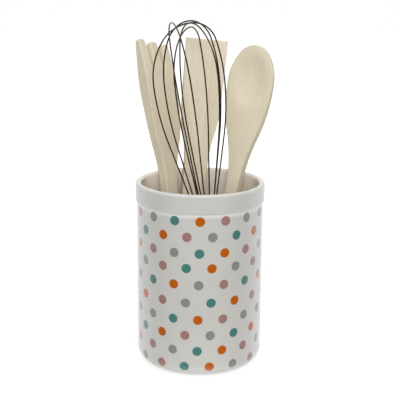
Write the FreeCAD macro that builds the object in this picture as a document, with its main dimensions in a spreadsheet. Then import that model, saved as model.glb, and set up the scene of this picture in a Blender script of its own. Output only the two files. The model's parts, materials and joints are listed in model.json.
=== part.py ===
import FreeCAD, Part
import math
import os
import Sketcher

# A glazed utensil crock with the kitchen tools that stand in it: a wooden fork,
# a wooden spatula, a wooden spoon and a wire whisk. The origin is at the middle
# of the foot, +Z is up and -Y is the front.

doc = FreeCAD.newDocument("utensil_crock")
dim = doc.addObject("Spreadsheet::Sheet", "dim")

# Driving dimensions in millimetres, and angles in degrees
SIZES = (
    # Crock
    ("crock_height", 156),
    ("body_diameter", 105.5),
    ("wall_thickness", 3.75),
    ("band_rise", 1.25),
    ("band_height", 14.6),
    ("band_step_height", 2.4),
    ("base_corner_radius", 12),
    ("floor_thickness", 6),
    ("floor_corner_radius", 9),
    ("foot_ring_width", 7),
    ("foot_recess_depth", 1.2),
    # Room left between pieces, and how far a cut runs past the wood
    ("seat_gap", 0.3),
    ("lean_gap", 0.6),
    ("fit_clearance", 0.1),
    ("cut_overrun", 5),
    # Wooden fork
    ("fork_length", 267.2),
    ("fork_handle_width", 13),
    ("fork_handle_thickness", 9.4),
    ("fork_head_width", 33.4),
    ("fork_neck_height", 136),
    ("fork_shoulder_height", 208),
    ("fork_bend_height", 178),
    ("fork_tip_run", 23),
    ("fork_setback", 9.2),
    ("fork_tip_thickness", 4.8),
    ("fork_tine_width", 7.6),
    ("fork_tine_rise_share", 0.342),
    ("fork_tine_drop", 2.2),
    ("fork_slot_depth", 21),
    ("fork_slot_floor_width", 2.4),
    ("fork_edge_round", 1.2),
    ("fork_lip_gap", 11.43),
    ("fork_face_turn", 5),
    ("fork_foot_x_share", -0.33),
    ("fork_foot_y_share", 0.10),
    # Wooden spatula
    ("spatula_length", 264),
    ("spatula_handle_width", 20.4),
    ("spatula_handle_thickness", 7.6),
    ("spatula_blade_width", 35),
    ("spatula_tip_width", 37.6),
    ("spatula_neck_height", 152),
    ("spatula_shoulder_height", 212),
    ("spatula_taper_height", 150),
    ("spatula_tip_thickness", 3),
    ("spatula_edge_round", 1),
    ("spatula_azimuth", 96.7),
    ("spatula_face_turn", 9.3),
    ("spatula_foot_x_share", -0.365),
    ("spatula_foot_y_share", 0.56),
    # Wooden spoon
    ("spoon_length", 262),
    ("spoon_handle_width", 11.4),
    ("spoon_thickness", 9.4),
    ("spoon_bowl_width", 43),
    ("spoon_neck_height", 138),
    ("spoon_crown_height", 31),
    ("spoon_crown_radius", 16.5),
    ("spoon_taper_height", 186),
    ("spoon_tip_thickness", 4),
    ("spoon_back_radius", 84),
    ("spoon_hollow_length", 48),
    ("spoon_hollow_width", 32),
    ("spoon_hollow_depth", 4.4),
    ("spoon_hollow_margin", 6),
    ("spoon_edge_round", 1.2),
    ("spoon_lip_gap", 29.21),
    ("spoon_face_turn", 16),
    ("spoon_foot_x_share", 0.145),
    ("spoon_foot_y_share", 0.27),
    # Whisk handle, collar and plug
    ("whisk_handle_length", 94),
    ("whisk_handle_diameter", 19),
    ("whisk_neck_diameter", 14.4),
    ("whisk_belly_height", 42),
    ("whisk_foot_round", 4),
    ("whisk_tenon_length", 8),
    ("ferrule_length", 18),
    ("ferrule_wall", 0.8),
    ("ferrule_edge_round", 0.5),
    ("plug_inset", 0.8),
    ("plug_margin", 1.3),
    ("whisk_foot_x_share", 0.422),
    ("whisk_foot_y_share", -0.361),
    ("whisk_rim_x_share", 0.04),
    ("whisk_rim_y_share", -0.17),
    # Whisk wires: the bulge's height is measured from the mouth of the collar
    ("wire_diameter", 1.2),
    ("wire_circle_diameter", 9),
    ("wire_end_gap", 3),
    ("wire_mouth_radius", 6),
    ("bulge_height", 122.5),
    ("leg_corner_share", 0.8),
    ("crown_round_share", 0.86),
    # Each wire loop: the angle of its plane round the axis, how far the plane is offset
    # from the axis at the mouth and tips sideways above it, the loop's bulge on either
    # side, and the shift and rise of its crown
    ("loop_1_angle", 6),
    ("loop_1_offset", 0),
    ("loop_1_tip_angle", 0.85),
    ("loop_1_near_bulge", 28),
    ("loop_1_far_bulge", 29.7),
    ("loop_1_crown_shift", 5.9),
    ("loop_1_crown_rise", 45.5),
    ("loop_2_angle", 41.2),
    ("loop_2_offset", 0),
    ("loop_2_tip_angle", 1.2),
    ("loop_2_near_bulge", 29.9),
    ("loop_2_far_bulge", 28.8),
    ("loop_2_crown_shift", 3.5),
    ("loop_2_crown_rise", 47.2),
    ("loop_3_angle", 65),
    ("loop_3_offset", 0),
    ("loop_3_tip_angle", 0.85),
    ("loop_3_near_bulge", 25.2),
    ("loop_3_far_bulge", 31),
    ("loop_3_crown_shift", 8.5),
    ("loop_3_crown_rise", 42.2),
    ("loop_4_angle", 104.6),
    ("loop_4_offset", 1.1),
    ("loop_4_tip_angle", -2.6),
    ("loop_4_near_bulge", 23.1),
    ("loop_4_far_bulge", 29.6),
    ("loop_4_crown_shift", 3.4),
    ("loop_4_crown_rise", 47.6),
    ("loop_5_angle", 118.8),
    ("loop_5_offset", -1.9),
    ("loop_5_tip_angle", 2.5),
    ("loop_5_near_bulge", 29.8),
    ("loop_5_far_bulge", 34),
    ("loop_5_crown_shift", 7.1),
    ("loop_5_crown_rise", 45.6),
)
LOOP_NUMBERS = (1, 2, 3, 4, 5)

# Radius of the plug and the tenon round the circle of wires, and of the collar round them
PLUG_RADIUS = "dim.wire_circle_diameter / 2 + dim.plug_margin"
COLLAR_BORE = "%s + dim.fit_clearance" % PLUG_RADIUS


def loop_alias(number, word):
    return "loop_%d_%s" % (number, word)


def fill_sheet():
    """Write every driving dimension into the sheet under its own name."""
    for row, (alias, size) in enumerate(SIZES, start=1):
        dim.set("A%d" % row, alias)
        dim.set("B%d" % row, str(size))
        dim.setAlias("B%d" % row, alias)
    doc.recompute()


def value(formula):
    return float(dim.evalExpression(formula))


# Sketch helpers: every corner is a pair of formulas on the sheet

def new_body(label):
    body = doc.addObject("PartDesign::Body", label)
    body.Label = label
    return body


def new_sketch(body, role, name):
    sketch = body.newObject("Sketcher::SketchObject", name)
    plane = next(part for part in body.Origin.OriginFeatures if part.Role == role)
    sketch.AttachmentSupport = [(plane, "")]
    sketch.MapMode = "FlatFace"
    return sketch


def bind(sketch, constraint, formula):
    number = sketch.addConstraint(constraint)
    sketch.setExpression("Constraints[%d]" % number, formula)


def bind_point(sketch, side, point, x_formula, y_formula):
    for kind, formula in (("DistanceX", x_formula), ("DistanceY", y_formula)):
        bind(sketch, Sketcher.Constraint(kind, -1, 1, side, point, value(formula)), formula)


def add_arc(sketch, start, end, formula, turn):
    """Add an arc from start to end that curves left (turn 1) or right (turn -1)."""
    radius = value(formula)
    chord = end - start
    left = FreeCAD.Vector(-chord.y, chord.x, 0).normalize()
    depth = math.sqrt(max(radius ** 2 - (chord.Length / 2) ** 2, 0))
    centre = (start + end) / 2 + left * (turn * depth)
    circle = Part.Circle(centre, FreeCAD.Vector(0, 0, 1), radius)
    first, last = (start, end) if turn > 0 else (end, start)
    arc = Part.ArcOfCircle(circle, circle.parameter(first), circle.parameter(last))
    side = sketch.addGeometry(arc)
    bind(sketch, Sketcher.Constraint("Radius", side, radius), formula)
    return (side, 1, 2) if turn > 0 else (side, 2, 1)


def add_outline(sketch, corners):
    """Draw a closed outline; a corner is (x, y), or (x, y, radius, turn) before an arc."""
    points = [FreeCAD.Vector(value(corner[0]), value(corner[1]), 0) for corner in corners]
    sides = []
    for corner, start, end in zip(corners, points, points[1:] + points[:1]):
        x, y, *bend = corner
        if bend:
            sides.append(add_arc(sketch, start, end, *bend))
        else:
            sides.append((sketch.addGeometry(Part.LineSegment(start, end)), 1, 2))
    for corner, before, after in zip(corners, sides[-1:] + sides[:-1], sides):
        sketch.addConstraint(
            Sketcher.Constraint("Coincident", before[0], before[2], after[0], after[1]))
        bind_point(sketch, after[0], after[1], corner[0], corner[1])


def add_circle(sketch, x_formula, y_formula, radius_formula):
    centre = FreeCAD.Vector(value(x_formula), value(y_formula), 0)
    circle = Part.Circle(centre, FreeCAD.Vector(0, 0, 1), value(radius_formula))
    side = sketch.addGeometry(circle)
    bind(sketch, Sketcher.Constraint("Radius", side, value(radius_formula)), radius_formula)
    bind_point(sketch, side, 3, x_formula, y_formula)


def add_axis(sketch, x_formula, low_formula, high_formula):
    """Add an upright construction line to turn a profile about."""
    x = value(x_formula)
    low = FreeCAD.Vector(x, value(low_formula), 0)
    high = FreeCAD.Vector(x, value(high_formula), 0)
    side = sketch.addGeometry(Part.LineSegment(low, high), True)
    bind_point(sketch, side, 1, x_formula, low_formula)
    bind_point(sketch, side, 2, x_formula, high_formula)


def bend_radius(step, rise):
    """Radius of an arc that leaves a straight run and moves aside by step over rise."""
    return "((%s)^2 + (%s)^2) / (2 * (%s))" % (step, rise, step)


def flare_radius(step, rise):
    """Radius of two equal arcs that together move a straight run aside by step over rise."""
    return "((%s)^2 + (%s)^2) / (4 * (%s))" % (step, rise, step)


# Feature helpers

def revolve(body, sketch):
    turned = body.newObject("PartDesign::Revolution", body.Label + "_turned")
    turned.Profile = sketch
    turned.ReferenceAxis = (sketch, ["V_Axis"])
    turned.Angle = 360
    return turned


def pad_both_ways(body, sketch, length_formula):
    pad = body.newObject("PartDesign::Pad", body.Label + "_blank")
    pad.Profile = sketch
    pad.SideType = "Symmetric"
    pad.setExpression("Length", length_formula)
    return pad


def cut_through(body, sketch, name):
    cut = body.newObject("PartDesign::Pocket", name)
    cut.Profile = sketch
    cut.Type = "ThroughAll"
    cut.SideType = "Symmetric"
    return cut


def trim_to_outline(body, corners, half_width, length):
    """Saw the blank to an outline seen from the front: all the wood outside it goes."""
    sketch = new_sketch(body, "XZ_Plane", body.Label + "_outline")
    side = "%s + dim.cut_overrun" % half_width
    top = "%s + dim.cut_overrun" % length
    add_outline(sketch, [
        ("-(%s)" % side, "-dim.cut_overrun"),
        (side, "-dim.cut_overrun"),
        (side, top),
        ("-(%s)" % side, top),
    ])
    add_outline(sketch, corners)
    return cut_through(body, sketch, body.Label + "_sawn")


def round_edges(body, feature, radius_formula):
    doc.recompute()
    fillet = body.newObject("PartDesign::Fillet", body.Label + "_sanded")
    fillet.Base = (feature, ["Edge1"])
    fillet.UseAllEdges = True
    fillet.setExpression("Radius", radius_formula)
    return fillet


def mirrored(corners):
    """Close a right-hand outline, listed upwards, with its mirror image on the left."""
    right = list(corners)
    highest = len(right) - 1
    if right[highest][0] == "0":
        right[highest] += right[highest - 1][2:]
        highest -= 1
    left = []
    for number in range(highest, 0, -1):
        x, y = right[number][:2]
        left.append(("-(%s)" % x, y) + right[number - 1][2:])
    return right + left


def flared_side(handle, head, neck, shoulder):
    """The right-hand edge of a tool, from its round foot up through its flared neck."""
    step = "%s - %s" % (head, handle)
    rise = "%s - %s" % (shoulder, neck)
    flare = flare_radius(step, rise)
    return [
        ("0", "0", handle, 1),
        (handle, handle),
        (handle, neck, flare, -1),
        ("(%s + %s) / 2" % (handle, head), "(%s + %s) / 2" % (neck, shoulder), flare, 1),
        (head, shoulder),
    ]


# Crock: one thrown and glazed body with a raised plain band and a ring foot

def make_crock():
    body = new_body("crock_body")
    wall = "dim.body_diameter / 2"
    rim = "%s + dim.band_rise" % wall
    bore = "%s - dim.wall_thickness" % wall
    lip = "(dim.band_rise + dim.wall_thickness) / 2"
    lip_middle = "%s - %s" % (rim, lip)
    lip_height = "dim.crock_height - (%s)" % lip
    band_top = "dim.crock_height - dim.band_height"
    band_foot = "%s - dim.band_step_height" % band_top
    step_round = flare_radius("dim.band_rise", "dim.band_step_height")
    step_middle = "%s + dim.band_rise / 2" % wall
    corner = "dim.base_corner_radius"
    floor_corner = "dim.floor_corner_radius"
    ring_outside = "%s - %s" % (wall, corner)
    ring_inside = "%s - dim.foot_ring_width" % ring_outside
    sketch = new_sketch(body, "XZ_Plane", "crock_wall")
    add_outline(sketch, [
        ("0", "dim.foot_recess_depth"),
        (ring_inside, "dim.foot_recess_depth"),
        (ring_inside, "0"),
        (ring_outside, "0", corner, 1),
        (wall, corner),
        (wall, band_foot, step_round, -1),
        (step_middle, "(%s + %s) / 2" % (band_top, band_foot), step_round, 1),
        (rim, band_top),
        (rim, lip_height, lip, 1),
        (lip_middle, "dim.crock_height", lip, 1),
        (bore, lip_height),
        (bore, "dim.floor_thickness + %s" % floor_corner, floor_corner, -1),
        ("%s - %s" % (bore, floor_corner), "dim.floor_thickness"),
        ("0", "dim.floor_thickness"),
    ])
    revolve(body, sketch)
    return body


# Wooden tools, each made lying along its own +Z with its face towards -Y

def make_fork():
    body = new_body("wooden_fork")
    back = "dim.fork_handle_thickness / 2"
    tip = "dim.fork_tip_thickness / 2"
    set_back = "dim.fork_setback + %s" % tip
    back_top = "dim.fork_length - dim.fork_tip_run"
    back_bend = flare_radius("%s - %s" % (set_back, back), "%s - dim.fork_bend_height" % back_top)
    face_bend = bend_radius("dim.fork_setback - %s + %s" % (tip, back),
                            "dim.fork_length - dim.fork_bend_height")
    sketch = new_sketch(body, "YZ_Plane", "fork_side")
    add_outline(sketch, [
        ("-%s" % back, "0"),
        (back, "0"),
        (back, "dim.fork_bend_height", back_bend, -1),
        ("(%s + %s) / 2" % (back, set_back), "(dim.fork_bend_height + %s) / 2" % back_top,
         back_bend, 1),
        (set_back, back_top),
        (set_back, "dim.fork_length"),
        ("dim.fork_setback - %s" % tip, "dim.fork_length", face_bend, 1),
        ("-%s" % back, "dim.fork_bend_height"),
    ])
    pad_both_ways(body, sketch, "dim.fork_head_width + dim.cut_overrun")
    head = "dim.fork_head_width / 2"
    side = flared_side("dim.fork_handle_width / 2", head,
                       "dim.fork_neck_height", "dim.fork_shoulder_height")
    outline = mirrored(side)
    top = fork_tines()
    sawn = trim_to_outline(body, outline[:len(side)] + top + outline[len(side):],
                           head, "dim.fork_length")
    round_edges(body, sawn, "dim.fork_edge_round")
    return body


def fork_tines():
    """The slanted top of the fork from right to left: three rounded tines, two tapered slots."""
    half = "dim.fork_tine_width / 2"
    pitch = "(dim.fork_head_width - dim.fork_tine_width) / 2"
    rise = "dim.fork_tine_width * dim.fork_tine_rise_share"
    tip_round = "((%s)^2 + (%s)^2) / (2 * %s)" % (half, rise, rise)
    slot_half = "dim.fork_slot_floor_width / 2"
    corners = []
    for place in (1, 0, -1):
        middle = "%d * (%s)" % (place, pitch)
        tip = "dim.fork_length - %d * dim.fork_tine_drop" % (place + 1)
        shoulder = "%s - %s" % (tip, rise)
        corners.append(("%s + %s" % (middle, half), shoulder, tip_round, 1))
        corners.append(("%s - %s" % (middle, half), shoulder))
        if place > -1:
            gap = "%s - (%s) / 2" % (middle, pitch)
            slot_floor = "%s + dim.fork_tine_drop / 2 - dim.fork_slot_depth" % tip
            corners.append(("%s + %s" % (gap, slot_half), slot_floor, slot_half, -1))
            corners.append((gap, "%s - %s" % (slot_floor, slot_half), slot_half, -1))
            corners.append(("%s - %s" % (gap, slot_half), slot_floor))
    return corners


def make_spatula():
    body = new_body("wooden_spatula")
    back = "dim.spatula_handle_thickness / 2"
    tip = "dim.spatula_tip_thickness / 2"
    sketch = new_sketch(body, "YZ_Plane", "spatula_side")
    add_outline(sketch, [
        ("-%s" % back, "0"),
        (back, "0"),
        (back, "dim.spatula_taper_height"),
        (tip, "dim.spatula_length"),
        ("-%s" % tip, "dim.spatula_length"),
        ("-%s" % back, "dim.spatula_taper_height"),
    ])
    pad_both_ways(body, sketch, "dim.spatula_tip_width + dim.cut_overrun")
    corner = "dim.spatula_tip_width / 2"
    side = flared_side("dim.spatula_handle_width / 2", "dim.spatula_blade_width / 2",
                       "dim.spatula_neck_height", "dim.spatula_shoulder_height")
    sawn = trim_to_outline(body, mirrored(side + [(corner, "dim.spatula_length")]),
                           corner, "dim.spatula_length")
    round_edges(body, sawn, "dim.spatula_edge_round")
    return body


def make_spoon():
    body = new_body("wooden_spoon")
    back = "dim.spoon_back_radius"
    face = "dim.spoon_back_radius - dim.spoon_thickness"
    tip = "%s + dim.spoon_tip_thickness" % face
    top = "dim.spoon_length + dim.cut_overrun"
    back_bend = bend_radius("dim.spoon_thickness - dim.spoon_tip_thickness",
                            "%s - dim.spoon_taper_height" % top)
    sketch = new_sketch(body, "YZ_Plane", "spoon_back")
    add_outline(sketch, [
        ("0", "0"),
        (back, "0"),
        (back, "dim.spoon_taper_height", back_bend, 1),
        (tip, top),
        ("0", top),
    ])
    revolve(body, sketch)
    front = new_sketch(body, "YZ_Plane", "spoon_face")
    far = "-%s - dim.cut_overrun" % back
    clear = "%s + dim.cut_overrun" % top
    add_outline(front, [
        (far, "-dim.cut_overrun"),
        (face, "-dim.cut_overrun"),
        (face, clear),
        (far, clear),
    ])
    cut_through(body, front, "spoon_planed")
    bowl = "dim.spoon_bowl_width / 2"
    shoulder = "dim.spoon_length - dim.spoon_crown_height"
    side = flared_side("dim.spoon_handle_width / 2", bowl, "dim.spoon_neck_height", shoulder)
    sawn = trim_to_outline(body, mirrored(side[:-1] + bowl_crown(bowl, shoulder)), back, top)
    round_edges(body, sawn, "dim.spoon_edge_round")
    hollow = new_sketch(body, "YZ_Plane", "spoon_bowl")
    bowl_top = "dim.spoon_length - dim.spoon_hollow_margin"
    bowl_foot = "%s - dim.spoon_hollow_length" % bowl_top
    scoop = "((dim.spoon_hollow_length / 2)^2 + dim.spoon_hollow_depth^2) / (2 * dim.spoon_hollow_depth)"
    add_outline(hollow, [
        ("%s - dim.cut_overrun" % face, bowl_foot),
        (face, bowl_foot, scoop, 1),
        (face, bowl_top),
        ("%s - dim.cut_overrun" % face, bowl_top),
    ])
    reach = "((dim.spoon_hollow_width / 2)^2 - dim.spoon_hollow_depth^2) / (2 * dim.spoon_hollow_depth)"
    axis = "%s - %s" % (face, reach)
    add_axis(hollow, axis, bowl_foot, bowl_top)
    scooped = body.newObject("PartDesign::Groove", "spoon_scooped")
    scooped.Profile = hollow
    scooped.ReferenceAxis = (hollow, ["Axis0"])
    scooped.Angle = 360
    return body


def bowl_crown(bowl, shoulder):
    """The egg-shaped top of the bowl: a long arc from its widest place, then a short one."""
    crown = "dim.spoon_crown_radius"
    rise = "dim.spoon_crown_height"
    cheek = "(((%s)^2 + %s^2 - 2 * %s * %s) / (2 * (%s - %s)))" % (bowl, rise, rise, crown, bowl, crown)
    return [
        (bowl, shoulder, cheek, 1),
        ("(%s - %s) * %s / (%s - %s)" % (cheek, bowl, crown, cheek, crown),
         "%s + (%s - %s) * %s / (%s - %s)" % (shoulder, rise, crown, cheek, cheek, crown), crown, 1),
        ("0", "dim.spoon_length"),
    ]


# Whisk: turned handle, steel collar, plug that grips the wires, and five wire loops

def make_whisk_handle():
    body = new_body("whisk_handle")
    belly = "dim.whisk_handle_diameter / 2"
    neck = "dim.whisk_neck_diameter / 2"
    end = "dim.whisk_handle_length + dim.whisk_tenon_length"
    taper = bend_radius("%s - %s" % (belly, neck),
                        "dim.whisk_handle_length - dim.whisk_belly_height")
    sketch = new_sketch(body, "XZ_Plane", "whisk_handle_turning")
    add_outline(sketch, [
        ("0", "0"),
        ("%s - dim.whisk_foot_round" % belly, "0", "dim.whisk_foot_round", 1),
        (belly, "dim.whisk_foot_round"),
        (belly, "dim.whisk_belly_height", taper, 1),
        (neck, "dim.whisk_handle_length"),
        (PLUG_RADIUS, "dim.whisk_handle_length"),
        (PLUG_RADIUS, end),
        ("0", end),
    ])
    revolve(body, sketch)
    return body


def make_ferrule():
    body = new_body("whisk_ferrule")
    outside = "%s + dim.ferrule_wall" % COLLAR_BORE
    mouth = "dim.whisk_handle_length + dim.ferrule_length"
    edge = "dim.ferrule_edge_round"
    sketch = new_sketch(body, "XZ_Plane", "ferrule_wall_section")
    add_outline(sketch, [
        (COLLAR_BORE, "dim.whisk_handle_length"),
        (outside, "dim.whisk_handle_length"),
        (outside, "%s - %s" % (mouth, edge), edge, 1),
        ("%s - %s" % (outside, edge), mouth),
        (COLLAR_BORE, mouth),
    ])
    revolve(body, sketch)
    return body


def make_plug():
    body = new_body("whisk_wire_plug")
    foot = "dim.whisk_handle_length + dim.whisk_tenon_length"
    top = "dim.whisk_handle_length + dim.ferrule_length - dim.plug_inset"
    sketch = new_sketch(body, "XZ_Plane", "plug_section")
    add_outline(sketch, [
        ("0", foot),
        (PLUG_RADIUS, foot),
        (PLUG_RADIUS, top),
        ("0", top),
    ])
    revolve(body, sketch)
    holes = new_sketch(body, "XY_Plane", "plug_holes")
    for number in LOOP_NUMBERS:
        angle = "dim." + loop_alias(number, "angle")
        offset = "dim." + loop_alias(number, "offset")
        for side in ("1", "-1"):
            reach = "%s * sqrt((dim.wire_circle_diameter / 2)^2 - %s^2)" % (side, offset)
            add_circle(holes, "%s * cos(%s) - %s * sin(%s)" % (reach, angle, offset, angle),
                       "%s * sin(%s) + %s * cos(%s)" % (reach, angle, offset, angle),
                       "dim.wire_diameter / 2 + dim.fit_clearance")
    cut_through(body, holes, "plug_drilled")
    return body


def loop_start(number):
    """How far along its plane a loop's ends stand from the middle of the mouth."""
    offset = dim.get(loop_alias(number, "offset"))
    return math.sqrt((dim.wire_circle_diameter / 2) ** 2 - offset ** 2)


def loop_side(number, word, sign):
    """Points and arc middles of one leg of a loop, from the mouth up to its crown.

    The leg rises in a straight slant, bends upright at its bulge, and closes in two
    arcs, a long one and a short one, that reach the crown level. The slant points at
    a corner below the bulge, which the bend rounds off.
    """
    start = loop_start(number)
    bulge = dim.get(loop_alias(number, word))
    rise = dim.get(loop_alias(number, "crown_rise"))
    crown = dim.bulge_height + rise
    shift = sign * dim.get(loop_alias(number, "crown_shift"))
    corner = dim.bulge_height * dim.leg_corner_share
    slant = math.atan2(bulge - start, corner)
    belly = (dim.bulge_height - corner) / math.tan(slant / 2)
    across = bulge - shift
    small = across * dim.crown_round_share
    large = (across ** 2 + rise ** 2 - 2 * rise * small) / (2 * (across - small))
    large_middle = (bulge - large, dim.bulge_height)
    small_middle = (shift, crown - small)
    meet = math.atan2(small_middle[1] - large_middle[1], small_middle[0] - large_middle[0])

    def on_arc(middle, radius, angle):
        return (middle[0] + radius * math.cos(angle), middle[1] + radius * math.sin(angle))

    belly_middle = (bulge - belly, dim.bulge_height)
    return [
        on_arc(belly_middle, belly, -slant),
        on_arc(belly_middle, belly, -slant / 2),
        (bulge, dim.bulge_height),
        on_arc(large_middle, large, meet / 2),
        on_arc(large_middle, large, meet),
        on_arc(small_middle, small, (meet + math.pi / 2) / 2),
        (shift, crown),
    ]


def make_wire_loop(number):
    """One wire: straight ends in the plug, and a planar loop tipped about the mouth."""
    mouth = dim.whisk_handle_length + dim.ferrule_length
    grip = dim.ferrule_length - dim.whisk_tenon_length - dim.wire_end_gap
    start = loop_start(number)
    aside = FreeCAD.Vector(0, dim.get(loop_alias(number, "offset")), 0)
    tip = FreeCAD.Rotation(FreeCAD.Vector(1, 0, 0), dim.get(loop_alias(number, "tip_angle")))
    turn = FreeCAD.Rotation(FreeCAD.Vector(0, 0, 1), dim.get(loop_alias(number, "angle")))
    up = FreeCAD.Vector(0, 0, 1)
    legs = []
    for word, sign in (("near_bulge", 1), ("far_bulge", -1)):
        corner = aside + FreeCAD.Vector(sign * start, 0, 0)
        points = [aside + tip.multVec(FreeCAD.Vector(sign * x, 0, z))
                  for x, z in loop_side(number, word, sign)]
        slant = (points[0] - corner).normalize()
        half_turn = up.getAngle(slant) / 2
        tangent = dim.wire_mouth_radius * math.tan(half_turn)
        inward = (slant - up).normalize()
        middle = corner + inward * (dim.wire_mouth_radius / math.cos(half_turn))
        near = corner - up * tangent
        far = corner + slant * tangent
        bend = middle - inward * dim.wire_mouth_radius
        legs.append([
            Part.LineSegment(corner - up * grip, near),
            Part.Arc(near, bend, far),
            Part.LineSegment(far, points[0]),
            Part.Arc(points[0], points[1], points[2]),
            Part.Arc(points[2], points[3], points[4]),
            Part.Arc(points[4], points[5], points[6]),
        ])
    edges = [curve.toShape() for leg in legs for curve in leg]
    path = Part.Wire(Part.__sortEdges__(edges))
    foot = aside + FreeCAD.Vector(start, 0, -grip)
    ring = Part.Wire(Part.makeCircle(dim.wire_diameter / 2, foot, up))
    loop = doc.addObject("Part::Feature", "whisk_wire_loop_%d" % number)
    loop.Label = "whisk_wire_loop_%d" % number
    wire = path.makePipeShell([ring], True, False)
    wire.Placement = FreeCAD.Placement(up * mouth, turn)
    loop.Shape = Part.makeCompound([wire]).Solids[0]
    return loop


# Standing the tools in the crock

def flare_width(tool, head, shoulder):
    """Half the width of a tool where its neck passes the lip."""
    narrow = dim.get(tool + "_handle_width") / 2
    neck = dim.get(tool + "_neck_height")
    step = head - narrow
    rise = shoulder - neck
    radius = (step ** 2 + rise ** 2) / (4 * step)
    above = min(max(lip_level() - neck, 0), rise)
    if above > rise / 2:
        return head - radius + math.sqrt(radius ** 2 - (rise - above) ** 2)
    return narrow + radius - math.sqrt(radius ** 2 - above ** 2)


def face_turn(tool, azimuth):
    """How a tool is turned about its length: its face looks past the middle of the crock."""
    return math.degrees(azimuth) - 90 + dim.get(tool + "_face_turn")


def lean_point(tool, azimuth, half_width, half_thickness):
    """Where a tool's middle crosses the lip, with its back just clear of the bore."""
    turn = math.radians(face_turn(tool, azimuth))
    room = bore_radius() - dim.lean_gap
    reaches = []
    for across in (-half_width, half_width):
        for deep in (-half_thickness, half_thickness):
            x = across * math.cos(turn) - deep * math.sin(turn)
            y = across * math.sin(turn) + deep * math.cos(turn)
            outward = x * math.cos(azimuth) + y * math.sin(azimuth)
            aside = y * math.cos(azimuth) - x * math.sin(azimuth)
            reaches.append(math.sqrt(room ** 2 - aside ** 2) - outward)
    reach = min(reaches)
    return FreeCAD.Vector(reach * math.cos(azimuth), reach * math.sin(azimuth), lip_level())


def bore_radius():
    return dim.body_diameter / 2 - dim.wall_thickness


def lip_level():
    return dim.crock_height - (dim.band_rise + dim.wall_thickness) / 2


def foot_point(tool):
    return FreeCAD.Vector(bore_radius() * dim.get(tool + "_foot_x_share"),
                          bore_radius() * dim.get(tool + "_foot_y_share"), dim.floor_thickness)


def stand(tool, pieces, at_lip, turn, centre):
    """Lean the pieces of one tool from their foot to the lip, and seat them on the floor."""
    foot = foot_point(tool)
    axis = (at_lip - foot).normalize()
    lean = FreeCAD.Rotation(FreeCAD.Vector(0, 0, 1), axis)
    turned = lean.multiply(FreeCAD.Rotation(FreeCAD.Vector(0, 0, 1), turn))
    base = foot - turned.multVec(centre)
    shape = pieces[0].Shape.copy()
    shape.Placement = FreeCAD.Placement(base, turned)
    lowest = shape.optimalBoundingBox().ZMin
    base += axis * ((dim.floor_thickness + dim.seat_gap - lowest) / axis.z)
    for piece in pieces:
        start = piece.Shape.Placement if piece.TypeId == "Part::Feature" else FreeCAD.Placement()
        piece.Placement = FreeCAD.Placement(base, turned).multiply(start)
    print("%s lifts along %.6f %.6f %.6f" % (tool, axis.x, axis.y, axis.z))


def stand_wooden_tools(fork, spatula, spoon):
    """Stand the tools along the lip, the fork and the spoon on either side of the spatula."""
    spoon_middle = FreeCAD.Vector(0, dim.spoon_back_radius - dim.spoon_thickness / 2, 0)
    spatula_half = flare_width("spatula", dim.spatula_blade_width / 2, dim.spatula_shoulder_height)
    fork_half = flare_width("fork", dim.fork_head_width / 2, dim.fork_shoulder_height)
    spoon_half = flare_width("spoon", dim.spoon_bowl_width / 2,
                             dim.spoon_length - dim.spoon_crown_height)
    fork_run = spatula_half + dim.fork_lip_gap + fork_half
    spoon_run = spatula_half + dim.spoon_lip_gap + spoon_half
    for tool, piece, lip_run, half_width, thickness, centre in (
            ("fork", fork, fork_run, fork_half, dim.fork_handle_thickness, FreeCAD.Vector()),
            ("spatula", spatula, 0, spatula_half, dim.spatula_handle_thickness, FreeCAD.Vector()),
            ("spoon", spoon, -spoon_run, spoon_half, dim.spoon_thickness, spoon_middle)):
        azimuth = math.radians(dim.spatula_azimuth) + lip_run / bore_radius()
        at_lip = lean_point(tool, azimuth, half_width, thickness / 2)
        stand(tool, [piece], at_lip, face_turn(tool, azimuth), centre)


def stand_whisk(pieces):
    at_lip = FreeCAD.Vector(bore_radius() * dim.whisk_rim_x_share,
                            bore_radius() * dim.whisk_rim_y_share, lip_level())
    stand("whisk", pieces, at_lip, 0, FreeCAD.Vector())


def check_and_write(pieces):
    doc.recompute()
    for item in doc.Objects:
        if "Invalid" in item.State or "Error" in item.State:
            raise RuntimeError("%s failed: %s" % (item.Name, item.State))
    os.makedirs("parts", exist_ok=True)
    for piece in pieces:
        if piece.Shape.isNull() or not piece.Shape.isValid() or len(piece.Shape.Solids) != 1:
            raise RuntimeError("%s is not one sound solid" % piece.Label)
        piece.Shape.exportStep("parts/%s.step" % piece.Label)
        print("%s %.1f mm3" % (piece.Label, piece.Shape.Volume))


fill_sheet()
crock = make_crock()
fork = make_fork()
spatula = make_spatula()
spoon = make_spoon()
whisk = [make_whisk_handle(), make_ferrule(), make_plug()]
whisk += [make_wire_loop(number) for number in LOOP_NUMBERS]
doc.recompute()
stand_wooden_tools(fork, spatula, spoon)
stand_whisk(whisk)
check_and_write([crock, fork, spatula, spoon] + whisk)
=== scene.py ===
# %% [markdown]
# # A utensil crock with its kitchen tools
#
# The object is a glazed stoneware crock with printed dots. A wooden fork, a wooden spatula,
# a wooden spoon and a wire whisk stand in it. The frame already holds every piece at its
# real size, in metres, so this lesson is about what the eye sees: the light of a product
# photograph, a gloss glaze over printed dots, sanded wood and drawn steel wire.
#
# The frame is loaded first.

# %% Load the frame
import json
import math

import bpy
import bmesh
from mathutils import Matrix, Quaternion, Vector


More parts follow.
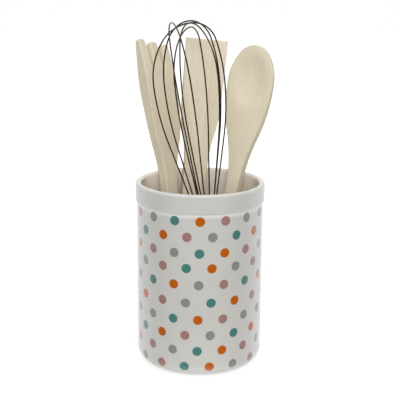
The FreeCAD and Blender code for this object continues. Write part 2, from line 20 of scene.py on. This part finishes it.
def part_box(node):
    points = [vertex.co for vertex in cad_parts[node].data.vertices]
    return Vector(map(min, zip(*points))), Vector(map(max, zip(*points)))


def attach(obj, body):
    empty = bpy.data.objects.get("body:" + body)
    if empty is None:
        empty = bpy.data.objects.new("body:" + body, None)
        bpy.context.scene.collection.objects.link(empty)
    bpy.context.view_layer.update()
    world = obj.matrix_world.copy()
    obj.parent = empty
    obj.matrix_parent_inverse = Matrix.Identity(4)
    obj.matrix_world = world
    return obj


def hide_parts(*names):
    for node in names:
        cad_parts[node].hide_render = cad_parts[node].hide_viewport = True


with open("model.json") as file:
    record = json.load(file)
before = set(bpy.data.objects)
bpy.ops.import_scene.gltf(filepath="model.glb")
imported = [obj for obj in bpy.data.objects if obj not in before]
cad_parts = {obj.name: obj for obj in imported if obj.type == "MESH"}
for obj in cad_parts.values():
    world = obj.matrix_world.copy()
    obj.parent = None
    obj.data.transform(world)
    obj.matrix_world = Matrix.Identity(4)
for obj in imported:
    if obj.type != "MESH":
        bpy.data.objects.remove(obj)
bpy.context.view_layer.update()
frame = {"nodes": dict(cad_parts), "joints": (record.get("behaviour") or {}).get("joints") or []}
MM = 0.001
UP = Vector((0, 0, 1))

# %% [markdown]
# ## Camera
#
# The photograph was taken from the front, a little above the lip of the crock, with a long
# lens: upright edges hardly lean together. Its viewpoint was worked out from the ellipses
# of the rim and the foot. The lens is given by its focal length in pixels of a picture that
# is 400 pixels wide, and a small roll levels the lip as it is in the photograph.

# %% Set up the camera
CAMERA_PLACE = Vector((0, -0.760, 0.329))
CAMERA_TARGET = Vector((0, 0, 0.139))
CAMERA_ROLL = 0.0078
FOCAL_PIXELS = 935
PICTURE_PIXELS = 400
SENSOR_MILLIMETRES = 36

camera_data = bpy.data.cameras.new("photo_camera")
camera_data.sensor_width = SENSOR_MILLIMETRES
camera_data.lens = FOCAL_PIXELS / PICTURE_PIXELS * SENSOR_MILLIMETRES
camera = bpy.data.objects.new("photo_camera", camera_data)
aim = (CAMERA_TARGET - CAMERA_PLACE).to_track_quat("-Z", "Y")
camera.rotation_euler = (aim @ Quaternion(UP, CAMERA_ROLL)).to_euler()
camera.location = CAMERA_PLACE
scene = bpy.context.scene
scene.collection.objects.link(camera)
scene.camera = camera
scene.view_settings.view_transform = "Standard"
print("camera: lens %.1f mm" % camera_data.lens)

# %% [markdown]
# ## Helpers for materials
#
# Colours are written as the hex codes that a picture editor shows, which are sRGB values.
# Shaders work with linear light, so one function turns a code into linear numbers. A second
# function adds a shader node: its plain settings are keyword arguments, and its inputs are
# a dictionary in which a socket becomes a link and anything else becomes a value. Most
# finishes here lay one colour over another, so that has a function too.

# %% Colour and node helpers
WHITE = (1, 1, 1, 1)


def linear(code):
    """Turn an sRGB code such as D0CDC8 into a linear colour with full alpha."""
    channels = [int(code[place:place + 2], 16) / 255 for place in (0, 2, 4)]
    light = [c / 12.92 if c <= 0.04045 else ((c + 0.055) / 1.055) ** 2.4 for c in channels]
    return (*light, 1)


def add(tree, kind, inputs=None, **settings):
    """Add a node to a tree, with its settings, its values and its links."""
    made = tree.nodes.new("ShaderNode" + kind)
    for name, setting in settings.items():
        setattr(made, name, setting)
    for socket, value in (inputs or {}).items():
        if isinstance(value, bpy.types.NodeSocket):
            tree.links.new(value, made.inputs[socket])
        else:
            made.inputs[socket].default_value = value
    return made


def blend(tree, share, ground, colour):
    """Lay a colour over the ground where the share is 1."""
    return add(tree, "Mix", {0: share, 6: ground, 7: colour}, data_type="RGBA").outputs[2]


def start_material(name):
    """Make an empty node material and return it with its tree and its Object coordinates."""
    material = bpy.data.materials.new(name)
    material.use_nodes = True
    tree = material.node_tree
    tree.nodes.clear()
    return material, tree, add(tree, "TexCoord").outputs["Object"]


def paint(node, material):
    """Give a node of the frame a finished material."""
    frame["nodes"][node].material_slots[0].material = material


print("F0F0F0 in linear light is %.3f" % linear("F0F0F0")[0])

# %% [markdown]
# ## Table, room and lamps
#
# Product photographs on white are made on a lit sweep: the ground is so bright that it
# clips to white, and only a faint shadow stays at the foot. A white floor under plain lamps
# would come out grey, so the table glows for the camera. It glows less near the foot, where
# the shadow is, and fully further out. For the light that bounces on to the crock it is an
# ordinary white table. It ends just in front of the crock, where the picture is white anyway.
#
# The world is the white room. The camera sees it pure white, and as a lamp it has a plain
# level. A gloss glaze and a polished wire show what stands round them, so for mirrors the
# room is white behind, nearly white above and below, and dark towards the camera. Mirrors
# look through the table into this room, because its front edge would show in the glaze.
#
# Three wide soft boxes, above, in front and behind, light the fronts and the tops more than
# the sides, which gives the flat tools a thickness.

# %% Build the table
TABLE_SIZE = 4.0
TABLE_FRONT = 0.09
TABLE_DROP = 0.1 * MM
TABLE_BOUNCE = "E8E8E6"
TABLE_SEEN = "A8A8A8"
FOOT_GLOW = 0.74
FAR_GLOW = 1.0
GLOW_NEAR = 0.12
GLOW_FAR = 0.60


def seen_directly(tree):
    """1 for rays of the camera, of mirrors and of glass, 0 for rays that carry light."""
    path = add(tree, "LightPath").outputs
    mirror = add(tree, "Math", {0: path["Is Glossy Ray"], 1: path["Is Transmission Ray"]},
                 operation="MAXIMUM")
    return add(tree, "Math", {0: path["Is Camera Ray"], 1: mirror.outputs[0]},
               operation="MAXIMUM").outputs[0]


def white_table():
    """Matt white laminate that glows for the camera and keeps the object's shadow."""
    material, tree, point = start_material("white_laminate_table")
    bounce = add(tree, "BsdfDiffuse", {"Color": linear(TABLE_BOUNCE)})
    shaded = add(tree, "BsdfDiffuse", {"Color": linear(TABLE_SEEN)})
    away = add(tree, "VectorMath", {0: point}, operation="LENGTH").outputs["Value"]
    strength = add(tree, "MapRange", {"Value": away, "From Min": GLOW_NEAR, "From Max": GLOW_FAR,
                                      "To Min": FOOT_GLOW, "To Max": FAR_GLOW},
                   interpolation_type="SMOOTHSTEP")
    glow = add(tree, "Emission", {"Color": WHITE, "Strength": strength.outputs[0]})
    lit = add(tree, "AddShader", {0: shaded.outputs[0], 1: glow.outputs[0]})
    mix = add(tree, "MixShader", {0: seen_directly(tree), 1: bounce.outputs[0], 2: lit.outputs[0]})
    add(tree, "OutputMaterial", {"Surface": mix.outputs[0]})
    return material


def new_piece(name, maker, material):
    """Finish a bmesh as an object that sits at the origin."""
    mesh = bpy.data.meshes.new(name)
    maker.to_mesh(mesh)
    maker.free()
    mesh.materials.append(material)
    piece = bpy.data.objects.new(name, mesh)
    scene.collection.objects.link(piece)
    return piece


table_maker = bmesh.new()
bmesh.ops.create_grid(table_maker, x_segments=1, y_segments=1, size=TABLE_SIZE / 2)
table_middle = Vector((0, TABLE_SIZE / 2 - TABLE_FRONT, -TABLE_DROP))
bmesh.ops.translate(table_maker, vec=table_middle, verts=table_maker.verts)
table = new_piece("white_table", table_maker, white_table())
table.visible_glossy = False
print("table: %.0f m square, it ends %.2f m before the crock's middle" % (TABLE_SIZE, TABLE_FRONT))

# %% Build the room
ROOM_LIGHT = 0.33
MIRROR_FRONT = 0.03
MIRROR_STEEP = 0.85
BEHIND_STARTS = -0.35
BEHIND_FULL = 0.6
STEEP_STARTS = 0.35
STEEP_FULL = 0.8


def mirrored_level(tree):
    """How bright mirrors see the room, by the direction alone and with no edge in it."""
    direction = add(tree, "SeparateXYZ", {0: add(tree, "TexCoord").outputs["Generated"]}).outputs
    behind = add(tree, "MapRange", {"Value": direction["Y"], "From Min": BEHIND_STARTS,
                                    "From Max": BEHIND_FULL, "To Min": MIRROR_FRONT},
                 interpolation_type="SMOOTHSTEP")
    steepness = add(tree, "Math", {0: direction["Z"]}, operation="ABSOLUTE")
    steep = add(tree, "MapRange", {"Value": steepness.outputs[0], "From Min": STEEP_STARTS,
                                   "From Max": STEEP_FULL, "To Max": MIRROR_STEEP},
                interpolation_type="SMOOTHSTEP")
    return add(tree, "Math", {0: behind.outputs[0], 1: steep.outputs[0]}, operation="MAXIMUM").outputs[0]


def white_room():
    """A world that is white for the camera, a plain lamp for surfaces and a studio for mirrors."""
    world = bpy.data.worlds.new("white_room")
    world.use_nodes = True
    tree = world.node_tree
    tree.nodes.clear()
    path = add(tree, "LightPath").outputs
    indirect = add(tree, "Mix", {0: path["Is Glossy Ray"], 2: ROOM_LIGHT, 3: mirrored_level(tree)},
                   data_type="FLOAT")
    direct = add(tree, "Math", {0: path["Is Camera Ray"], 1: path["Is Transmission Ray"]},
                 operation="MAXIMUM")
    level = add(tree, "Mix", {0: direct.outputs[0], 2: indirect.outputs[0], 3: 1.0}, data_type="FLOAT")
    room = add(tree, "Background", {"Color": WHITE, "Strength": level.outputs[0]})
    add(tree, "OutputWorld", {"Surface": room.outputs[0]})
    return world


scene.world = white_room()
print("room: level %.2f as a lamp" % ROOM_LIGHT)

# %% Hang the lamps
LAMP_TARGET = Vector((0, 0, 0.18))
# Each lamp's name, its place and its width in metres, and its power in watts.
LAMPS = (
    ("soft_box_above", Vector((0.0, -0.30, 1.20)), 0.9, 5.5),
    ("soft_box_front", Vector((0.05, -1.40, 0.60)), 0.8, 13.4),
    ("soft_box_behind", Vector((0.0, 1.30, 0.90)), 0.9, 5.5),
)

for name, place, width, watts in LAMPS:
    lamp_data = bpy.data.lights.new(name, "AREA")
    lamp_data.energy = watts
    lamp_data.size = width
    lamp = bpy.data.objects.new(name, lamp_data)
    lamp.location = place
    lamp.rotation_euler = (LAMP_TARGET - place).to_track_quat("-Z", "Y").to_euler()
    lamp.visible_glossy = False
    scene.collection.objects.link(lamp)
    print("lamp: %s %.1f W" % (name, watts))

# %% [markdown]
# ## Glazed stoneware with printed dots
#
# The crock is fired stoneware under a clear gloss glaze. The dots are printed below that
# glaze in four colours, in ten rows round the wall. They could be little discs on the
# surface, but a printed dot has no thickness, so the shader draws them.
#
# Each row is a loop of sixteen places, 22.5 degrees apart, and every second row is shifted
# by half a place. A point's angle round the crock, times the wall's radius, gives its
# distance along the wall to the nearest place of a row, and its height gives the other
# distance. Where the two together are less than the dot's radius, there is colour. Below
# the wall the height follows the round of the base, so that a dot there stays round. The
# columns of dots lean a little, as they do in the photograph.

# %% Sizes and rows of the dots
BAND_RISE = 1.25 * MM
BASE_ROUND = 12 * MM
crock_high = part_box("crock_body")[1]
WALL_RADIUS = crock_high.x - BAND_RISE
DOT_RADIUS = 3.9 * MM
DOT_EDGE = 0.3 * MM
PLACES_ROUND = 16
PLACE_WIDTH = math.tau / PLACES_ROUND * WALL_RADIUS
TWIST_PER_METRE = math.radians(17.4)
TWIST_AT_FOOT = math.radians(-2.0)

INKS = {"orange": "BE5E05", "teal": "4A807A", "grey": "8B8E87", "mauve": "A27B73"}
# Each row's height along the wall in millimetres, its shift in places and its inks in turn.
ROWS = (
    (134.3, 0.0, ("orange", "mauve", "grey", "teal")),
    (121.4, 0.5, ("grey", "teal", "orange", "mauve")),
    (108.0, 0.0, ("teal", "orange", "mauve", "grey")),
    (95.6, 0.5, ("orange", "grey", "mauve", "teal")),
    (81.6, 0.0, ("grey", "mauve", "teal", "orange")),
    (66.6, 0.5, ("teal", "orange", "mauve", "grey")),
    (52.2, 0.0, ("orange", "mauve", "grey", "teal")),
    (38.7, 0.5, ("grey", "teal", "orange", "mauve")),
    (25.3, 0.0, ("teal", "orange", "mauve", "grey")),
    (11.5, 0.5, ("orange", "grey", "mauve", "teal")),
)
print("wall: radius %.2f mm" % (WALL_RADIUS / MM))
print("dots: %d rows of %d, %.1f mm apart" % (len(ROWS), PLACES_ROUND, PLACE_WIDTH / MM))


# %% Find a point's place on the wall
def wall_places(tree, point):
    """A point's place round the wall, in steps of a dot's spacing, and its height along the wall."""
    axes = add(tree, "SeparateXYZ", {0: point}).outputs
    front = add(tree, "Math", {0: axes["Y"], 1: -1.0}, operation="MULTIPLY")
    angle = add(tree, "Math", {0: axes["X"], 1: front.outputs[0]}, operation="ARCTAN2")
    twist = add(tree, "Math", {0: axes["Z"], 1: TWIST_PER_METRE, 2: TWIST_AT_FOOT},
                operation="MULTIPLY_ADD")
    turned = add(tree, "Math", {0: angle.outputs[0], 1: twist.outputs[0]}, operation="SUBTRACT")
    place = add(tree, "Math", {0: turned.outputs[0], 1: PLACES_ROUND / math.tau}, operation="MULTIPLY")

    # On the round of the base the way along the wall is an arc, found from its sine.
    sine = add(tree, "MapRange", {"Value": axes["Z"], "From Min": 0, "From Max": BASE_ROUND,
                                  "To Min": 1, "To Max": 0})
    slope = add(tree, "Math", {0: sine.outputs[0]}, operation="ARCSINE")
    straight = add(tree, "Math", {0: axes["Z"], 1: BASE_ROUND}, operation="MAXIMUM")
    along = add(tree, "Math", {0: slope.outputs[0], 1: -BASE_ROUND, 2: straight.outputs[0]},
                operation="MULTIPLY_ADD")
    return place.outputs[0], along.outputs[0]


print("the round of the base is an arc of %.1f mm" % (math.pi / 2 * BASE_ROUND / MM))


# %% Print a row of dots
def ink_ramp(tree, column, inks):
    """The ink of a column, taken in turn from the inks of its row."""
    turn = add(tree, "Math", {0: column, 1: len(inks), 2: 0.0}, operation="WRAP").outputs[0]
    pick = add(tree, "Math", {0: turn, 1: 1 / len(inks), 2: 0.5 / len(inks)}, operation="MULTIPLY_ADD")
    ramp = add(tree, "ValToRGB", {0: pick.outputs[0]})
    stops = ramp.color_ramp.elements
    ramp.color_ramp.interpolation = "CONSTANT"
    while len(stops) < len(inks):
        stops.new(1.0)
    for number, ink in enumerate(inks):
        stops[number].position = number / len(inks)
        stops[number].color = linear(INKS[ink])
    return ramp.outputs[0]


def add_row(tree, ground, place, along, row):
    """Print one row of dots over the colour that is there already."""
    height, shift, inks = row
    local = add(tree, "Math", {0: place, 1: shift}, operation="SUBTRACT").outputs[0]
    column = add(tree, "Math", {0: local}, operation="ROUND").outputs[0]
    aside = add(tree, "Math", {0: local, 1: column}, operation="SUBTRACT").outputs[0]
    across = add(tree, "Math", {0: aside, 1: PLACE_WIDTH}, operation="MULTIPLY").outputs[0]
    above = add(tree, "Math", {0: along, 1: height * MM}, operation="SUBTRACT").outputs[0]
    offset = add(tree, "CombineXYZ", {"X": across, "Y": above})
    distance = add(tree, "VectorMath", {0: offset.outputs[0]}, operation="LENGTH").outputs["Value"]
    cover = add(tree, "MapRange", {"Value": distance, "From Min": DOT_RADIUS + DOT_EDGE,
                                   "From Max": DOT_RADIUS - DOT_EDGE}, interpolation_type="SMOOTHSTEP")
    return blend(tree, cover.outputs[0], ground, ink_ramp(tree, column, inks))


print("one dot is %.1f mm across" % (2 * DOT_RADIUS / MM))

# %% [markdown]
# ## The glaze over the print
#
# A clear glaze is a thin layer of glass. Under the band and at the foot the glaze is painted
# paler: a painted highlight, which stands in for the white table and room that the glaze
# reflects there. Inside, the crock is painted paler and warmer: painted bounce light from the
# wooden tools. The ring that it stands on is wiped clean before firing, so the clay is bare.
# These zones could be separate materials, but the crock is one piece with soft changes
# between them, so one material finds each zone from the height and the distance to the middle.
#
# The gloss is a Principled shader with a coat: the coat is the clean outer face of the
# glaze, which mirrors the white room along the edges, and the layer below is a little dull.

# %% Stoneware under the glaze
CLAY_DARK = "CAC9C4"
CLAY_PALE = "D0CFCA"
# The pale colour and the sizes below paint a highlight under the band and at the foot: painted reflection
# of the white table and room in the glaze.
HIGHLIGHT_PALE = "F4F6F5"
HIGHLIGHT_DROP = 17.4 * MM
HIGHLIGHT_LEVEL = crock_high.z - HIGHLIGHT_DROP
HIGHLIGHT_HEIGHT = 3.0 * MM
HIGHLIGHT_SHARE = 0.6
FOOT_HIGHLIGHT_HEIGHT = 5.2 * MM
FOOT_HIGHLIGHT_FULL = 2.8 * MM


def clay_with_painted_highlight(tree, height, cloud):
    """Pale clouded stoneware, with a painted highlight under the band and at the foot."""
    clay = blend(tree, cloud, linear(CLAY_DARK), linear(CLAY_PALE))
    # Painted highlight: a pale line under the band and a pale band at the foot, which stand in for the
    # white surroundings that the glaze reflects there.
    drop = add(tree, "Math", {0: height, 1: HIGHLIGHT_LEVEL}, operation="SUBTRACT")
    away = add(tree, "Math", {0: drop.outputs[0]}, operation="ABSOLUTE")
    band_highlight = add(tree, "MapRange", {"Value": away.outputs[0], "From Min": HIGHLIGHT_HEIGHT,
                                        "From Max": 0, "To Max": HIGHLIGHT_SHARE},
                     interpolation_type="SMOOTHSTEP")
    foot_highlight = add(tree, "MapRange", {"Value": height, "From Min": FOOT_HIGHLIGHT_HEIGHT,
                                       "From Max": FOOT_HIGHLIGHT_FULL}, interpolation_type="SMOOTHSTEP")
    painted_highlight = add(tree, "Math", {0: band_highlight.outputs[0], 1: foot_highlight.outputs[0]}, operation="MAXIMUM")
    return blend(tree, painted_highlight.outputs[0], clay, linear(HIGHLIGHT_PALE))


# The printed height is that of the painted highlight under the band.
print("glaze pools %.1f mm up, under the band" % (HIGHLIGHT_LEVEL / MM))

# %% The glaze
WALL_THICKNESS = 3.75 * MM
BORE_RADIUS = WALL_RADIUS - WALL_THICKNESS
# Painted bounce light: inside, the glaze is painted paler and warmer, which stands in for light bounced off
# the wooden tools.
INSIDE_BOUNCE_STARTS = BORE_RADIUS + 1.8 * MM
INSIDE_BOUNCE_FULL = BORE_RADIUS + 0.4 * MM
INSIDE_BOUNCE_LEVEL = 5.7 * MM
INSIDE_BOUNCE_DARK = "E5DDD0"
INSIDE_BOUNCE_PALE = "ECE5DA"
BARE_HEIGHT = 0.6 * MM
BARE_CLAY = "CDBFA9"
CLOUD_SIZE = 24 * MM
RIPPLE_SIZE = 5 * MM
RIPPLE_DEPTH = 0.3 * MM
RIPPLE_STRENGTH = 0.06
GLAZE_ROUGHNESS = 0.14
BARE_ROUGHNESS = 0.85
GLAZE_IOR = 1.6
COAT_WEIGHT = 0.7
COAT_ROUGHNESS = 0.1


def glazed_stoneware():
    """Clear gloss glaze on pale stoneware: soft mirror at the edges, the print shows through."""
    material, tree, point = start_material("gloss_glazed_stoneware")
    height = add(tree, "SeparateXYZ", {0: point}).outputs["Z"]
    flat = add(tree, "VectorMath", {0: point, 1: (1, 1, 0)}, operation="MULTIPLY")
    radius = add(tree, "VectorMath", {0: flat.outputs[0]}, operation="LENGTH").outputs["Value"]
    clouds = add(tree, "TexNoise", {"Vector": point, "Scale": 1 / CLOUD_SIZE, "Detail": 3})
    cloud = clouds.outputs["Fac"]
    printed = clay_with_painted_highlight(tree, height, cloud)
    place, along = wall_places(tree, point)
    for row in ROWS:
        printed = add_row(tree, printed, place, along, row)

    # The painted bounce light's lower limit is just under the inside floor, to leave out the narrower base.
    inner = add(tree, "MapRange", {"Value": radius, "From Min": INSIDE_BOUNCE_STARTS, "From Max": INSIDE_BOUNCE_FULL})
    over_base = add(tree, "Math", {0: height, 1: INSIDE_BOUNCE_LEVEL}, operation="GREATER_THAN")
    inside_bounce = add(tree, "Math", {0: inner.outputs[0], 1: over_base.outputs[0]}, operation="MULTIPLY")
    bounce_tone = blend(tree, cloud, linear(INSIDE_BOUNCE_DARK), linear(INSIDE_BOUNCE_PALE))
    glazed = blend(tree, inside_bounce.outputs[0], printed, bounce_tone)
    bare = add(tree, "Math", {0: height, 1: BARE_HEIGHT}, operation="LESS_THAN").outputs[0]
    body = blend(tree, bare, glazed, linear(BARE_CLAY))

    rough = add(tree, "MapRange", {"Value": bare, "To Min": GLAZE_ROUGHNESS, "To Max": BARE_ROUGHNESS})
    ripple = add(tree, "TexNoise", {"Vector": point, "Scale": 1 / RIPPLE_SIZE, "Detail": 1})
    bump = add(tree, "Bump", {"Height": ripple.outputs["Fac"], "Strength": RIPPLE_STRENGTH,
                              "Distance": RIPPLE_DEPTH})
    shader = add(tree, "BsdfPrincipled", {"Base Color": body, "Roughness": rough.outputs[0],
                                          "IOR": GLAZE_IOR, "Normal": bump.outputs[0],
                                          "Coat Weight": COAT_WEIGHT, "Coat IOR": GLAZE_IOR,
                                          "Coat Roughness": COAT_ROUGHNESS})
    add(tree, "OutputMaterial", {"Surface": shader.outputs[0]})
    return material


paint("crock_body", glazed_stoneware())
print("glaze: %d rows printed" % len(ROWS))

# %% [markdown]
# ## Sanded pale wood
#
# The tools are sawn from pale close-grained wood such as maple or beech, sanded and left
# bare. The grain runs along each tool, so the pattern is turned to the tool's own length,
# which is the direction in which its joint lifts it. Three noises stretched along the tool
# give broad bands, narrow growth streaks and short dark flecks, all faint. No two boards
# are alike, so each tool has its own pair of tones and takes its grain from another place.

# %% Wood along a direction
BAND_WIDTH = 9 * MM
STREAK_WIDTH = 1.6 * MM
# The flecks of such wood are often finer than the picture can show, so they are drawn coarser.
FLECK_WIDTH = 0.7 * MM
STREAK_STRETCH = 0.03
FLECK_STRETCH = 0.12
STREAK_TONE = "CDBC98"
STREAK_STARTS = 0.45
STREAK_FULL = 0.8
STREAK_SHARE = 0.35
FLECK_TONE = "B79F78"
FLECK_STARTS = 0.66
FLECK_FULL = 0.76
FLECK_SHARE = 0.3
GRAIN_STRENGTH = 0.12
GRAIN_DEPTH = 0.2 * MM
WOOD_ROUGHNESS = 0.62
WOOD_IOR = 1.5


def stood_up(along):
    """The rotation that stands a direction upright, for a Mapping node."""
    return along.rotation_difference(UP).to_euler()


def pale_wood(name, along, offset, early, late):
    """Bare sanded hardwood: a dull sheen, faint long streaks and short darker flecks."""
    material, tree, point = start_material(name)
    turned = add(tree, "Mapping", {"Vector": point, "Location": offset,
                                   "Rotation": stood_up(along)}).outputs[0]
    long = add(tree, "Mapping", {"Vector": turned, "Scale": (1, 1, STREAK_STRETCH)}).outputs[0]
    short = add(tree, "Mapping", {"Vector": turned, "Scale": (1, 1, FLECK_STRETCH)}).outputs[0]
    bands = add(tree, "TexNoise", {"Vector": long, "Scale": 1 / BAND_WIDTH, "Detail": 2})
    streaks = add(tree, "TexNoise", {"Vector": long, "Scale": 1 / STREAK_WIDTH, "Detail": 3})
    flecks = add(tree, "TexNoise", {"Vector": short, "Scale": 1 / FLECK_WIDTH, "Detail": 1})
    tone = blend(tree, bands.outputs["Fac"], linear(early), linear(late))
    streak = add(tree, "MapRange", {"Value": streaks.outputs["Fac"], "From Min": STREAK_STARTS,
                                    "From Max": STREAK_FULL, "To Max": STREAK_SHARE})
    tone = blend(tree, streak.outputs[0], tone, linear(STREAK_TONE))
    fleck = add(tree, "MapRange", {"Value": flecks.outputs["Fac"], "From Min": FLECK_STARTS,
                                   "From Max": FLECK_FULL, "To Max": FLECK_SHARE})
    tone = blend(tree, fleck.outputs[0], tone, linear(FLECK_TONE))
    bump = add(tree, "Bump", {"Height": streaks.outputs["Fac"], "Strength": GRAIN_STRENGTH,
                              "Distance": GRAIN_DEPTH})
    shader = add(tree, "BsdfPrincipled", {"Base Color": tone, "Roughness": WOOD_ROUGHNESS,
                                          "IOR": WOOD_IOR, "Normal": bump.outputs[0]})
    add(tree, "OutputMaterial", {"Surface": shader.outputs[0]})
    return material


streak_length = STREAK_WIDTH / STREAK_STRETCH
print("grain: streaks %.1f mm wide and %.0f mm long" % (STREAK_WIDTH / MM, streak_length / MM))

# %% Cut each tool from its own board
BOARD_STEP = 0.1
# Each tool's body, its node, and the darker and the paler tone of its bands.
WOODS = (
    ("fork", "wooden_fork", "D1C5AC", "DFD5C0"),
    ("spatula", "wooden_spatula", "DCD0B6", "E9DFCB"),
    ("spoon", "wooden_spoon", "D4C9AF", "E1D7C2"),
    ("whisk", "whisk_handle", "D4C9AF", "E1D7C2"),
)
lifts = {joint["child"]: Vector(joint["axis"]) for joint in frame["joints"]}
woods = {}
for number, (body, node, early, late) in enumerate(WOODS):
    board = (BOARD_STEP * number, 0, 0)
    woods[body] = pale_wood("sanded_pale_" + node, lifts[body], board, early, late)
    paint(node, woods[body])
    print("wood:", node)

# %% [markdown]
# ## The sanded spoon
#
# The bowl of a wooden spoon is milled and then sanded, so its edge is a soft round and not
# a line. The frame's spoon has the form and a crisp edge. It could be modelled again from
# nothing, but a copy keeps its outline: the copy is merged, remeshed into small even cells
# and smoothed, first all over by a little and then on its front face alone, where the bowl is.

# %% Sand the spoon
SAND_CELL = 0.6 * MM
MERGE_DISTANCE = 0.001 * MM
SAND_FACTOR = 0.5
ROUGH_PASSES = 2
FRONT_PASSES = 200
FRONT_COSINE = 0.82


def sand(maker, verts, passes):
    """Smooth some vertices of a bmesh, as passes of fine sandpaper do."""
    for _ in range(passes):
        bmesh.ops.smooth_vert(maker, verts=verts, factor=SAND_FACTOR,
                              use_axis_x=True, use_axis_y=True, use_axis_z=True)


def sanded_copy(node, name, front, material):
    """A copy of a node with its front face sanded soft."""
    maker = bmesh.new()
    maker.from_mesh(frame["nodes"][node].data)
    bmesh.ops.remove_doubles(maker, verts=maker.verts, dist=MERGE_DISTANCE)
    piece = new_piece(name, maker, material)
    cells = piece.modifiers.new("even_cells", "REMESH")
    cells.mode = "VOXEL"
    cells.voxel_size = SAND_CELL
    evaluated = piece.evaluated_get(bpy.context.evaluated_depsgraph_get())
    maker = bmesh.new()
    maker.from_mesh(evaluated.to_mesh())
    evaluated.to_mesh_clear()
    piece.modifiers.remove(cells)
    sand(maker, maker.verts, ROUGH_PASSES)
    maker.normal_update()
    sand(maker, [vert for vert in maker.verts if vert.normal.dot(front) > FRONT_COSINE], FRONT_PASSES)
    for face in maker.faces:
        face.smooth = True
    maker.to_mesh(piece.data)
    maker.free()
    return piece


near_faces = [face for face in frame["nodes"]["wooden_spoon"].data.polygons if face.normal.y < 0]
spoon_front = max(near_faces, key=lambda face: face.area).normal.copy()
spoon = sanded_copy("wooden_spoon", "sanded_spoon", spoon_front, woods["spoon"])
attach(spoon, "spoon")
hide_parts("wooden_spoon")
print("spoon: %d faces, its front looks along %.2f %.2f %.2f" % (len(spoon.data.polygons), *spoon_front))

# %% [markdown]
# ## Steel and resin
#
# The wires are drawn stainless steel, polished bright: a round wire mirrors the dark side
# of the room in its middle and the white sweep along its edges, so it looks dark in front
# of pale wood. Its tint is painted dark brown as well, which is painted shade: it stands in
# for the dark surroundings that the wire mirrors. The collar is a tube that was turned and
# left satin, and the plug in it is cast dark resin. All three could share one grey, but they
# meet in the whisk, where the eye tells them apart by their gloss.

# %% Drawn wire
WIRE_WEAR_SIZE = 6 * MM
# The wire's tints are painted dark brown: painted shade, which stands in for the dark surroundings that the
# wire mirrors.
WIRE_SHADED_DARK = "463C31"
WIRE_SHADED_PALE = "6E6458"
WIRE_BRIGHT = 0.12
WIRE_DULL = 0.3


def drawn_wire():
    """Polished drawn steel: a narrow mirror with slight uneven dullness along it, and a tint painted dark
    as painted shade.
    """
    material, tree, point = start_material("polished_drawn_steel_wire")
    worn = add(tree, "TexNoise", {"Vector": point, "Scale": 1 / WIRE_WEAR_SIZE, "Detail": 3}).outputs["Fac"]
    tint = blend(tree, worn, linear(WIRE_SHADED_DARK), linear(WIRE_SHADED_PALE))
    rough = add(tree, "MapRange", {"Value": worn, "To Min": WIRE_BRIGHT, "To Max": WIRE_DULL})
    shader = add(tree, "BsdfPrincipled", {"Base Color": tint, "Metallic": 1.0,
                                          "Roughness": rough.outputs[0]})
    add(tree, "OutputMaterial", {"Surface": shader.outputs[0]})
    return material


wire_steel = drawn_wire()
wires = [node for node in frame["nodes"] if node.startswith("whisk_wire_loop")]
for node in wires:
    paint(node, wire_steel)
print("wire:", len(wires), "loops")

# %% Turned tube
# Rings from turning are about a tenth of a millimetre apart, and are drawn coarser to show.
RING_WIDTH = 0.3 * MM
RING_STRETCH = 0.03
TUBE_DARK = "9C9A96"
TUBE_PALE = "B8B6B2"
TUBE_BRIGHT = 0.28
TUBE_DULL = 0.42
RING_STRENGTH = 0.2
RING_DEPTH = 0.05 * MM


def turned_steel(along):
    """Satin stainless tube: fine rings round it from turning, a soft broad highlight."""
    material, tree, point = start_material("satin_turned_steel")
    turned = add(tree, "Mapping", {"Vector": point, "Rotation": stood_up(along),
                                   "Scale": (RING_STRETCH, RING_STRETCH, 1)}).outputs[0]
    rings = add(tree, "TexNoise", {"Vector": turned, "Scale": 1 / RING_WIDTH, "Detail": 2}).outputs["Fac"]
    tint = blend(tree, rings, linear(TUBE_DARK), linear(TUBE_PALE))
    rough = add(tree, "MapRange", {"Value": rings, "To Min": TUBE_BRIGHT, "To Max": TUBE_DULL})
    bump = add(tree, "Bump", {"Height": rings, "Strength": RING_STRENGTH, "Distance": RING_DEPTH})
    shader = add(tree, "BsdfPrincipled", {"Base Color": tint, "Metallic": 1.0,
                                          "Roughness": rough.outputs[0], "Normal": bump.outputs[0]})
    add(tree, "OutputMaterial", {"Surface": shader.outputs[0]})
    return material


paint("whisk_ferrule", turned_steel(lifts["whisk"]))
print("collar: rings drawn %.1f mm apart" % (RING_WIDTH / MM))

# %% Cast resin
FILLER_SIZE = 0.6 * MM
RESIN_DARK = "1C1B1A"
RESIN_PALE = "3A3835"
RESIN_ROUGHNESS = 0.55
RESIN_IOR = 1.5
PIT_STRENGTH = 0.3
PIT_DEPTH = 0.1 * MM


def cast_resin():
    """Dark cast resin: dull, with paler specks of filler and tiny pits."""
    material, tree, point = start_material("cast_dark_resin")
    filler = add(tree, "TexNoise", {"Vector": point, "Scale": 1 / FILLER_SIZE, "Detail": 4}).outputs["Fac"]
    tint = blend(tree, filler, linear(RESIN_DARK), linear(RESIN_PALE))
    bump = add(tree, "Bump", {"Height": filler, "Strength": PIT_STRENGTH, "Distance": PIT_DEPTH})
    shader = add(tree, "BsdfPrincipled", {"Base Color": tint, "Roughness": RESIN_ROUGHNESS,
                                          "IOR": RESIN_IOR, "Normal": bump.outputs[0]})
    add(tree, "OutputMaterial", {"Surface": shader.outputs[0]})
    return material


paint("whisk_wire_plug", cast_resin())
print("plug: specks of filler %.1f mm wide" % (FILLER_SIZE / MM))
